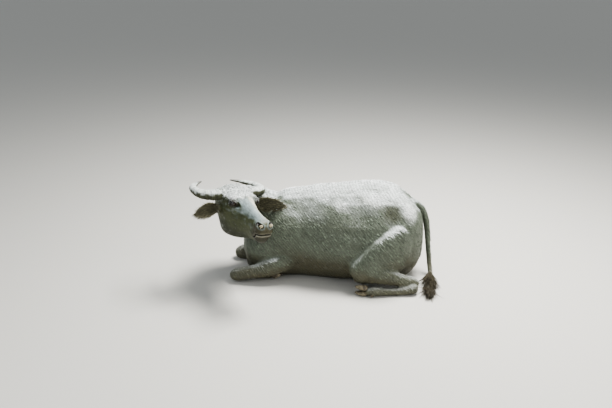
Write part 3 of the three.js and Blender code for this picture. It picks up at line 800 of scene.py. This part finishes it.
def makeHide():
    hide = Paint("hide", Specular_IOR_Level=0.32)
    tint = hide.node("ShaderNodeAttribute", {"attribute_name": "tint"})
    wet = hide.node("ShaderNodeAttribute", {"attribute_name": "wet"}, out=2)
    head = hide.node("ShaderNodeAttribute", {"attribute_name": "head"}, out=2)
    lie = hide.lie((0, math.radians(-52), 0), (0.14, 1, 1))
    faceLie = hide.lie(Matrix(headMatrix.tolist()).to_euler(), (1, 0.2, 1))
    place = hide.node("ShaderNodeMix", {"data_type": "VECTOR"}, {0: head, 4: lie, 5: faceLie}, out=1)
    locks = hide.noise(85, 4, 0.6, at=place)
    strands = hide.noise(520, 2, 0.5, at=place)
    waving = {"Scale": 18.0, "Distortion": 6.0, "Detail": 3.0, "Detail Scale": 9.0, "Detail Roughness": 0.6}
    rows = hide.node("ShaderNodeTexWave", {"wave_type": "BANDS", "bands_direction": "Z"},
                     {"Vector": hide.place(turn=(0, math.radians(-52), 0)), **waving}, out=1)
    combed = hide.node("ShaderNodeAttribute", {"attribute_name": "combed"}, out=2)
    rows = hide.span(rows, 0.02, 0.55) * combed + (1 - combed)
    blotch = hide.noise(14, 4, 0.6)
    grain = hide.noise(900, 2, 0.5)
    # Painted shade in the grooves between the locks and between the rows of hair
    grooveShade = hide.span(locks, 0.36, 0.6, 0.78, 1.12) * hide.span(rows, 0, 1, 0.66, 1.05)
    dirt = hide.span(blotch, 0.35, 0.7, 0.86, 1.12)
    thread = hide.span(strands, 0.3, 0.7, 0.88, 1.1)
    colour = hide.shaded(tint, grooveShade * dirt * thread)
    dust = hide.span(hide.noise(60, 5, 0.7), 0.56, 0.72) * (1 - wet) * 0.5
    colour = hide.blend(colour, palette["dryMudAndHighlight"], dust)
    # Painted shade: the skin of the body is darkened, as it shows darker between the rows of hair than the
    # hair itself
    colour = hide.blend(colour, palette["hollow"], (1 - head) * 0.3)
    hide.link(colour, "Base Color")
    rough = 0.68 - wet * 0.3 + hide.span(locks, 0.35, 0.65, -0.09, 0.12)
    hide.link(rough, "Roughness")
    coarse = hide.bump(locks + rows * 0.8, 4 * mm, 0.5)
    hair = hide.bump(strands, 1.1 * mm, 0.6, coarse)
    hide.link(hide.bump(grain, 0.35 * mm, 0.5, hair), "Normal")
    return hide


# Tufts: one tapered lock, modelled once and laid many times along the coat


def modelLock():
    deselectAll()
    bpy.ops.mesh.primitive_cone_add(vertices=3, radius1=1, radius2=0, depth=1, location=(0, 0, 0.5))
    lock = bpy.context.active_object
    settle(lock)
    bpy.ops.object.mode_set(mode="EDIT")
    for height in (0.14, 0.45, 0.76):
        bpy.ops.mesh.select_all(action="SELECT")
        bpy.ops.mesh.bisect(plane_co=(0, 0, height), plane_no=(0, 0, 1))
    bpy.ops.mesh.select_all(action="SELECT")
    bpy.ops.mesh.quads_convert_to_tris()
    bpy.ops.object.mode_set(mode="OBJECT")
    points = getPoints(lock)
    triangles = np.empty(len(lock.data.polygons) * 3, np.int64)
    lock.data.polygons.foreach_get("vertices", triangles)
    bpy.data.objects.remove(lock)
    # Fuller in the middle and narrow at the root
    height = points[:, 2]
    fuller = (0.55 + 2.2 * height * (1 - height) ** 0.5) / np.clip(1 - height, 0.12, 1) * (1 - height) ** 0.75
    points[:, :2] *= np.where(height < 0.999, fuller, 1)[:, None]
    return points, triangles.reshape(-1, 3)


lockPoints, lockTriangles = modelLock()


def unit(vectors):
    return vectors / np.linalg.norm(vectors, axis=-1, keepdims=True).clip(1e-9)


def layTufts(name, roots, out, way, length, width, thick, lift, curl, tint, bake, floor=1.0):
    # All sizes in millimetres, one per tuft; way is combed flat on the surface
    out = unit(out)
    way = unit(way - out * (way * out).sum(1, keepdims=True))
    across = np.cross(out, way)
    s = lockPoints[:, 2]
    spine = way[:, None] * (length[:, None] * s)[..., None]
    spine = spine + across[:, None] * (curl[:, None] * s ** 2)[..., None]
    rise = lift[:, None] * (3.2 * s * (1 - s) + 0.35 * s) - 1.5 * (1 - s)
    spine = spine + out[:, None] * rise[..., None]
    body = across[:, None] * (width[:, None] * lockPoints[:, 0])[..., None]
    body = body + out[:, None] * (thick[:, None] * lockPoints[:, 1])[..., None]
    points = (roots[:, None] + (spine + body) * mm).reshape(-1, 3)
    points[:, 2] = np.maximum(points[:, 2], floor * mm)
    count = len(lockPoints)
    triangles = (np.arange(len(roots))[:, None, None] * count + lockTriangles).reshape(-1, 3)
    mesh = bpy.data.meshes.new(name)
    mesh.from_pydata(points.tolist(), [], triangles.tolist())
    mesh.polygons.foreach_set("use_smooth", np.ones(len(triangles), bool))
    obj = bpy.data.objects.new(name, mesh)
    bpy.context.scene.collection.objects.link(obj)
    # Painted shade: each lock is darker at its root, deep in the coat, and lighter towards its tip
    shade = tint[:, None] * (0.8 + 0.32 * s)[None, :, None]
    setColours(obj, "tint", np.clip(shade.reshape(-1, 3), 0, 1))
    spread = bake[:, None] + np.stack([lockPoints[:, 0] * 0.0014, (s - 0.5) * 0.0028], 1)
    layer = mesh.uv_layers.new(name="OFBake")
    layer.data.foreach_set("uv", spread.reshape(-1, 2)[triangles.ravel()].ravel())
    return obj


def unwrapBody(points):
    # Round the trunk and along it
    p = (points - np.array(withers)) / mm
    turn = np.arctan2(p[:, 1], p[:, 2] - 330) / (2 * math.pi) + 0.5
    return np.stack([turn, (p[:, 0] + 600) / 1800], 1) * 0.98 + 0.01


def unwrapHead(points):
    h = toHead(points)
    turn = np.arctan2(h[:, 0], h[:, 2] + 120) / (2 * math.pi) + 0.5
    return np.stack([turn, (h[:, 1] + 120) / 700], 1) * 0.98 + 0.01


def makeCoatPaint():
    coat = Paint("coat", Specular_IOR_Level=0.3)
    tint = coat.node("ShaderNodeAttribute", {"attribute_name": "tint"})
    fleck = coat.span(coat.noise(240, 3, 0.6), 0.3, 0.7, 0.72, 1.22)
    coat.link(coat.shaded(tint, fleck), "Base Color")
    coat.link(coat.span(coat.noise(60), 0.3, 0.7, 0.36, 0.7), "Roughness")
    coat.link(coat.bump(coat.noise(1400, 2), 0.3 * mm, 0.5), "Normal")
    return coat


coatSetup = {
    "rowWidth": 17,
    "side": {"count": 8800, "length": (20, 38), "width": (1.3, 2.8), "thick": (0.6, 1.2), "lift": (0.4, 1.6)},
    "brow": {"count": 3600, "length": (12, 24), "width": (1.2, 2.4), "thick": (0.7, 1.3), "lift": (0.8, 2.6)},
    "cheek": {"count": 1300, "length": (5, 10), "width": (0.4, 0.8), "thick": (0.2, 0.4), "lift": (0.1, 0.5)},
    "ear": {"count": 1100, "length": (18, 36), "width": (0.9, 1.8), "thick": (0.5, 0.9), "lift": (1, 4)},
    "tail": {"count": 1500, "length": (90, 205), "width": (2.0, 4.2), "thick": (1.2, 2.2), "lift": (1, 9)},
    "chin": {"count": 260, "length": (10, 20), "width": (0.4, 0.7), "thick": (0.3, 0.5), "lift": (2, 6)},
    "crest": {"count": 1300, "length": (18, 34), "width": (1.6, 3), "thick": (1.0, 1.6), "lift": (2, 6)},
}


def sizes(kind, count):
    rows = coatSetup[kind]
    return [draws.uniform(*rows[key], count) for key in ("length", "width", "thick", "lift")]


def combedShare(normals):
    # The rows fade out where the skin faces forward or back
    return smoothStep(0.75, 0.35, np.abs(normals[:, 0]))


def rowsOf(points, normals):
    # Wet hair lies in wavering rows down and back over the flank: 1 on a row, 0 between rows
    p = (points - np.array(withers)) / mm
    across = p[:, 0] * 0.79 + p[:, 2] * 0.62
    phase = (across + 11 * waves(points, 0.13, 51) + 5 * waves(points, 0.045, 52)) / coatSetup["rowWidth"]
    return 0.5 + 0.5 * np.sin(2 * math.pi * phase) * combedShare(normals)


def scatter(skin, count, density):
    # Picks faces of the skin by area and by how dense the coat is there
    faces = len(skin.data.polygons)
    area = np.empty(faces)
    skin.data.polygons.foreach_get("area", area)
    normal = np.empty(faces * 3)
    skin.data.polygons.foreach_get("normal", normal)
    normal = normal.reshape(-1, 3)
    middle = faceMiddles(skin)
    chance = area * density(middle, normal)
    chosen = draws.choice(faces, count, p=chance / chance.sum())
    roots = middle[chosen] + draws.normal(size=(count, 3)) * 0.6 * mm
    return roots, normal[chosen]


def bodyWay(points, normals):
    # Back and down over the trunk, with whorls that wander a little
    way = np.tile((0.74, 0.0, -0.66), (len(points), 1))
    way[:, 0] += 0.25 * waves(points, 0.25, 31)
    way[:, 2] += 0.2 * waves(points, 0.3, 32)
    way[:, 1] += 0.12 * np.sign(points[:, 1] - withers.y)
    return way + draws.normal(size=way.shape) * 0.07


def coatPiece(name, skin, kind, density, way, unwrap, paint, slot, tone=None, curl=4):
    count = coatSetup[kind]["count"]
    roots, normals = scatter(skin, count, density)
    length, width, thick, lift = sizes(kind, count)
    # The tufts take the skin's colours at their roots, painted light and shade included
    tint = skinTint(roots, normals)[0]
    # Painted shade: side tufts between the rows of hair are darker than those on the rows
    if kind == "side":
        tint = tint * (0.52 + 1.0 * rowsOf(roots, normals))[:, None]
    if tone:
        tint = tint + (np.array(palette[tone[0]]) - tint) * tone[1]
    # A few tufts are much paler, above all in the ears
    pale = 2.16 if kind == "ear" else 0.48
    tint = tint * (1 + draws.uniform(-0.5, 1, count) ** 3 * pale + draws.uniform(-0.18, 0.18, count))[:, None]
    obj = layTufts(name, roots, normals, way(roots, normals), length, width, thick, lift,
                   draws.normal(size=count) * curl, tint, unwrap(roots))
    addMaterial(obj, paint)
    finishPiece(obj, slot)
    return obj


def makeCoat(skin, paint):
    print("coat")

    def offHead(points):
        h = toHead(points)
        face = smoothStep(-20, 10, h[:, 1]) * smoothStep(150, 130, np.abs(h[:, 0])) * (h[:, 2] > -320)
        return (1 - face) * (1 - earShare(h, 1)) * (1 - earShare(h, -1))

    for name, side in (("coatLeft", -1), ("coatRight", 1)):
        def density(points, normals, side=side):
            half = (side * (points[:, 1] - withers.y) > 0).astype(float)
            low = (points[:, 2] > 0.03) * (0.35 + smoothStep(-0.5, 0.3, normals[:, 2]))
            return half * offHead(points) * low * (0.1 + rowsOf(points, normals) ** 1.5)
        coatPiece(name, skin, "side", density, bodyWay, unwrapBody, paint, "hide")

    def faceWay(points, normals):
        h = toHead(points)
        lean = np.stack([0.0035 * h[:, 0], np.ones(len(h)), np.full(len(h), -0.3)], 1)
        way = lean @ headMatrix
        return way + draws.normal(size=way.shape) * 0.22

    def browDensity(points, normals):
        return brow(toHead(points)) + 1e-9

    coatPiece("coatBrow", skin, "brow", browDensity, faceWay, unwrapHead, paint, "face", ("brow", 0.3), 7)

    def crestDensity(points, normals):
        h = toHead(points)
        return bell(np.linalg.norm((h - (0, 4, -2)) / (75, 45, 60), axis=1), 1) + 1e-9

    coatPiece("coatCrest", skin, "crest", crestDensity, faceWay, unwrapHead, paint, "face", ("brow", 0.4), 9)

    def cheekDensity(points, normals):
        h = toHead(points)
        face = smoothStep(-10, 30, h[:, 1]) * smoothStep(430, 400, h[:, 1])
        face = face * smoothStep(130, 115, np.abs(h[:, 0]))
        for side in (1, -1):
            face = face * smoothStep(34, 44, np.linalg.norm(h - eyeFrame(side)[0], axis=1))
        return face * (h[:, 2] > -300) * (1 - brow(h)) + 1e-9

    def cheekWay(points, normals):
        way = np.tile(np.array((0, 0.55, -0.4)) @ headMatrix, (len(points), 1))
        return way + draws.normal(size=way.shape) * 0.12

    coatPiece("coatCheek", skin, "cheek", cheekDensity, cheekWay, unwrapHead, paint, "face", None, 2)
    for name, side in (("coatEarLeft", -1), ("coatEarRight", 1)):
        root, tip = (np.array(place) for place in earLines[side])
        along = unit(tip - root)

        def earDensity(points, normals, side=side):
            h = toHead(points)
            inside = smoothStep(-0.35, 0.3, (normals @ headMatrix.T)[:, 1])
            return earShare(h, side) * (0.18 + inside) + 1e-9

        def earWay(points, normals, root=root, along=along):
            rel = toHead(points) - root
            off = rel - np.outer(rel @ along, along)
            way = (along + off / 95) @ headMatrix
            return way + draws.normal(size=way.shape) * 0.14

        coatPiece(name, skin, "ear", earDensity, earWay, unwrapHead, paint, "hair", ("legs", 0.3), 6)

    def chinDensity(points, normals):
        h = toHead(points)
        return smoothStep(430, 455, h[:, 1]) * (h[:, 1] < 540) * smoothStep(-100, -125, h[:, 2]) + 1e-9

    coatPiece("coatChin", skin, "chin", chinDensity, cheekWay, unwrapHead, paint, "hair", ("hair", 0.6), 3)
    tail = np.array([row[:3] for row in tailEnd[-4:]]) * mm + np.array(withers)

    def tailDensity(points, normals):
        return smoothStep(34, 24, distanceToPath(points / mm, tail / mm)[0]) + 1e-9

    def tailWay(points, normals):
        spread = draws.normal(size=len(points)) * 0.16
        turn = math.radians(-106) + spread
        return np.stack([np.cos(turn), np.sin(turn), draws.normal(size=len(points)) * 0.05], 1)

    def unwrapTail(points):
        far, share = distanceToPath(points / mm, tail / mm)
        return np.stack([0.5 + (points[:, 0] - tail[:, 0].mean()) * 6, 0.05 + 0.9 * share], 1)

    switch = coatPiece("coatTail", skin, "tail", tailDensity, tailWay, unwrapTail, paint, "hair",
                       ("hair", 0.75), 16)
    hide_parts("tail_switch")


# Eyes, horns, hooves and the rope through the nose

hornPath = [(72, 42, -36), (126, 42, -38), (176, 33, -42), (214, 10, -46), (238, -36, -50), (236, -104, -56),
            (189, -182, -66), (112, -244, -74)]


def makeEyes():
    print("eyes")
    paint = Paint("eye", Roughness=0.06, Coat_Weight=1.0, Coat_Roughness=0.02)
    paint.link(paint.node("ShaderNodeAttribute", {"attribute_name": "tint"}), "Base Color")
    for name, side in (("eye_left", -1), ("eye_right", 1)):
        centre, along, over, out = eyeFrame(side)
        deselectAll()
        bpy.ops.mesh.primitive_uv_sphere_add(segments=64, ring_count=48, radius=1)
        eye = bpy.context.active_object
        eye.name = "eyeballRight" if side > 0 else "eyeballLeft"
        ball = getPoints(eye)
        cap = smoothStep(0.74, 0.95, ball[:, 2])
        radius = eyeSetup["radius"] + eyeSetup["front"] * cap
        h = centre + ball @ np.array([along, over, out]) * radius[:, None]
        off = np.hypot(ball[:, 0], ball[:, 1]) * eyeSetup["reach"]
        colours = np.tile(srgb(88, 70, 52), (len(ball), 1))
        iris = smoothStep(eyeSetup["iris"] + 1, eyeSetup["iris"] - 1, off)
        colours += (np.array(srgb(40, 25, 15)) - colours) * iris[:, None]
        pupil = np.hypot(*(ball[:, k] * eyeSetup["reach"] / eyeSetup["pupil"][k] for k in (0, 1)))
        colours *= (1 - 0.97 * smoothStep(1.15, 0.9, pupil) * (ball[:, 2] > 0))[:, None]
        colours *= (1 - 0.7 * bell(off - eyeSetup["iris"], 1.2))[:, None]
        setPoints(eye, fromHead(h))
        if side < 0:
            pick(eye)
            bpy.ops.object.mode_set(mode="EDIT")
            bpy.ops.mesh.select_all(action="SELECT")
            bpy.ops.mesh.normals_make_consistent(inside=False)
            bpy.ops.object.mode_set(mode="OBJECT")
        setColours(eye, "tint", colours)
        shadeSmooth(eye)
        addMaterial(eye, paint)
        finishPiece(eye, "eye", name)


lashSetup = {"count": 30, "length": (9, 15), "width": 0.55, "thick": 0.5, "lift": -2.0}


def makeLashes(coatPaint):
    roots, outs, ways, lengths = [], [], [], []
    for side in (1, -1):
        centre, along, over, out = eyeFrame(side)
        for turn in np.linspace(0.25, math.pi - 0.25, lashSetup["count"]):
            turn = turn + draws.normal() * 0.03
            a = skinSetup["eyeLength"] * 1.02 * math.cos(turn)
            b = skinSetup["upperLid"] * 1.02 * math.sin(turn) - 0.12 * a
            high = math.sqrt(skinSetup["lidCurve"] ** 2 - a * a - b * b) - skinSetup["lidSink"]
            high += skinSetup["lidThick"]
            roots.append(centre + along * a + over * b + out * high)
            ways.append(out * 0.8 + over * 0.1 + along * a / 40 - np.array((0, 0, 0.25)))
            outs.append(over + out * 0.2)
            lengths.append(draws.uniform(*lashSetup["length"]))
    count = len(roots)
    tint = np.tile(palette["darkHairAndShade"], (count, 1))
    width, thick, lift = (np.full(count, lashSetup[key]) for key in ("width", "thick", "lift"))
    lashes = layTufts("lashes", fromHead(roots), np.array(outs) @ headMatrix, np.array(ways) @ headMatrix,
                      np.array(lengths), width, thick, lift, draws.normal(size=count), tint,
                      unwrapHead(fromHead(roots)))
    addMaterial(lashes, coatPaint)
    finishPiece(lashes, "hair")


hornSetup = {
    "grain": 2.4 * mm, "rounds": 40, "length": 560, "fine": 2.9, "fineHeight": 1.0,
    "broad": 9.5, "broadHeight": 1.5, "lump": 0.9,
    # Colours of the horn: below with painted shade, on top pale mud and painted highlight, and at the tip
    "low": srgb(70, 72, 52), "top": srgb(200, 205, 200), "tip": srgb(58, 54, 44),
}


def makeHorns():
    print("horns")
    paint = Paint("horn", Specular_IOR_Level=0.4)
    tint = paint.node("ShaderNodeAttribute", {"attribute_name": "tint"})
    fleck = paint.span(paint.noise(70, 5, 0.65), 0.3, 0.7, 0.7, 1.2)
    paint.link(paint.shaded(tint, fleck), "Base Color")
    paint.link(paint.span(paint.noise(30), 0.3, 0.7, 0.42, 0.8), "Roughness")
    coarse = paint.bump(paint.noise(90, 5, 0.6), 1.6 * mm, 0.5)
    paint.link(paint.bump(paint.noise(700, 3), 0.3 * mm, 0.5, coarse), "Normal")
    for name, side in (("horn_left", -1), ("horn_right", 1)):
        horn = fuse(copyNodes("hornRight" if side > 0 else "hornLeft", [name]), hornSetup["grain"])
        relaxObject(horn, hornSetup["rounds"], 1.0, 40)
        points, normals = getPoints(horn), getPoints(horn, "normal")
        h = toHead(points)
        path = np.array(hornPath, float) * (side, 1, 1)
        share = distanceToPath(h, path)[1]
        wander = share * hornSetup["length"] + 5 * waves(points, 0.09, 41)
        rings = np.sin(wander / hornSetup["fine"]) * smoothStep(0.8, 0.3, share) * hornSetup["fineHeight"]
        rings += np.sin(wander / hornSetup["broad"]) * hornSetup["broadHeight"] * (1 - share)
        rings += hornSetup["lump"] * waves(points, 0.03, 42)
        setPoints(horn, points + normals * (rings * mm)[:, None])
        # The horn's top is lighter and its underside darker: partly pale mud on top, partly painted highlight
        # and painted shade
        up = normals[:, 2] + 0.25 * waves(points, 0.05, 43)
        colours = np.tile(hornSetup["low"], (len(points), 1))
        colours += (np.array(hornSetup["top"]) - colours) * smoothStep(0.1, 0.6, up)[:, None]
        colours += (np.array(hornSetup["tip"]) - colours) * (0.75 * smoothStep(0.82, 0.97, share))[:, None]
        # Painted shade in the dips between the rings
        colours *= (1 - 0.28 * smoothStep(0.1, -0.8, rings))[:, None]
        setColours(horn, "tint", colours)
        shadeSmooth(horn)
        addMaterial(horn, paint)
        finishPiece(horn, "horn", name)


# Of each foot: the small claws' middle, spread to each side and way out, and a small claw's half sizes
hoofSetup = {
    "grain": 1.8 * mm, "rounds": 14, "dewclaw": (8, 11, 19),
    "fore": ((-166, 146, 62), 15, (0.8, 0.25, 0.35)), "hind": ((574, 398, 18), 24, (-0.7, 0.5, 0.05)),
}


def makeHooves():
    print("hooves")
    paint = Paint("hoof", Specular_IOR_Level=0.35)
    mud = paint.span(paint.noise(28, 5, 0.65), 0.42, 0.62)
    bands = paint.noise(160, 2, at=paint.lie((0, 0, 0), (0.15, 0.15, 1)))
    colour = paint.blend(srgb(52, 47, 40), srgb(88, 80, 66), bands)
    paint.link(paint.blend(colour, srgb(138, 130, 108), mud), "Base Color")
    paint.link(paint.span(mud, 0, 1, 0.45, 0.85), "Roughness")
    paint.link(paint.bump(bands, 1.2 * mm, 0.6), "Normal")
    made, nodes = [], []
    for end in ("fore", "hind"):
        for sideName, side in (("left", -1), ("right", 1)):
            for toe in ("inner", "outer"):
                node = f"{end}_claw_{sideName}_{toe}"
                claw = fuse(copyNodes("claw", [node]), hoofSetup["grain"])
                relaxObject(claw, hoofSetup["rounds"], 1.0, 20)
                made.append(claw)
                nodes.append(node)
            (x, y, z), spread, (ahead, across, up) = hoofSetup[end]
            for away in (-1, 1):
                place = (x, y * side + spread * away, z)
                way = (ahead, across * away, up)
                deselectAll()
                bpy.ops.mesh.primitive_uv_sphere_add(segments=20, ring_count=12, radius=1)
                dew = bpy.context.active_object
                turn = Vector(way).to_track_quat("Z", "Y").to_matrix()
                shape = getPoints(dew) * hoofSetup["dewclaw"] @ np.array(turn).T
                setPoints(dew, (shape + place) * mm + np.array(withers))
                made.append(dew)
    hooves = joinAll(*made)
    hooves.name = "hooves"
    shadeSmooth(hooves, 50)
    addMaterial(hooves, paint)
    finishPiece(hooves, "hoof", *nodes)


# Radius of a ply, its distance from the middle of the rope, its turn and the knot's size, in millimetres
ropeSetup = {"ply": 2.0, "off": 1.9, "turn": 3.0, "knot": 3.1, "place": (35, 483, -56), "bar": (474.0, -57.0)}


def makeRope():
    print("nose rope")
    strands = []
    turns = np.linspace(0, 2 * math.pi, 150)
    for side in (1, -1):
        knot = np.stack([np.sin(turns) + 2 * np.sin(2 * turns), np.cos(turns) - 2 * np.cos(2 * turns),
                         -1.1 * np.sin(3 * turns)], 1) * ropeSetup["knot"]
        knot = knot[:, [0, 2, 1]] + np.array(ropeSetup["place"]) * (side, 1, 1)
        strands.append(knot)
    bar = np.array([(x, *ropeSetup["bar"]) for x in np.linspace(-30, 30, 60)])
    strands.append(bar)
    made = []
    for path in strands:
        tangent = unit(np.gradient(path, axis=0))
        first = unit(np.cross(tangent, (0.2, 0.3, 0.93)))
        second = np.cross(tangent, first)
        run = np.concatenate([[0], np.cumsum(np.linalg.norm(np.diff(path, axis=0), axis=1))])
        for third in range(3):
            angle = run / ropeSetup["turn"] + third * 2 * math.pi / 3
            ply = path + (first * np.cos(angle)[:, None] + second * np.sin(angle)[:, None]) * ropeSetup["off"]
            rows = [(Vector(place), ropeSetup["ply"] * mm) for place in fromHead(ply)]
            made.append(tubeAlong("ply", rows, 1))
    rope = joinAll(*made)
    rope.name = "noseRope"
    rope.data.materials.clear()
    shadeSmooth(rope)
    paint = Paint("rope", Specular_IOR_Level=0.2)
    colour = paint.blend(srgb(206, 197, 170), srgb(120, 108, 84), paint.span(paint.noise(160, 4), 0.4, 0.7))
    paint.link(colour, "Base Color")
    paint.link(paint.span(paint.noise(90), 0.3, 0.7, 0.7, 0.95), "Roughness")
    paint.link(paint.bump(paint.noise(1500, 2), 0.4 * mm, 0.6), "Normal")
    addMaterial(rope, paint)
    finishPiece(rope, "rope", "nose_rope")


makeStage()
skin = makeSkin()
tints, wets, heads = skinTint(getPoints(skin), getPoints(skin, "normal"))
setColours(skin, "tint", tints)
combed = (1 - heads) * combedShare(getPoints(skin, "normal"))
for layerName, values in (("wet", wets), ("head", heads), ("combed", combed)):
    skin.data.attributes.new(layerName, "FLOAT", "POINT").data.foreach_set("value", values)
addMaterial(skin, makeHide())
finishPiece(skin, "hide", *fleshNodes)
makeEyes()
coatPaint = makeCoatPaint()
makeLashes(coatPaint)
makeHorns()
makeHooves()
makeRope()
makeCoat(skin, coatPaint)
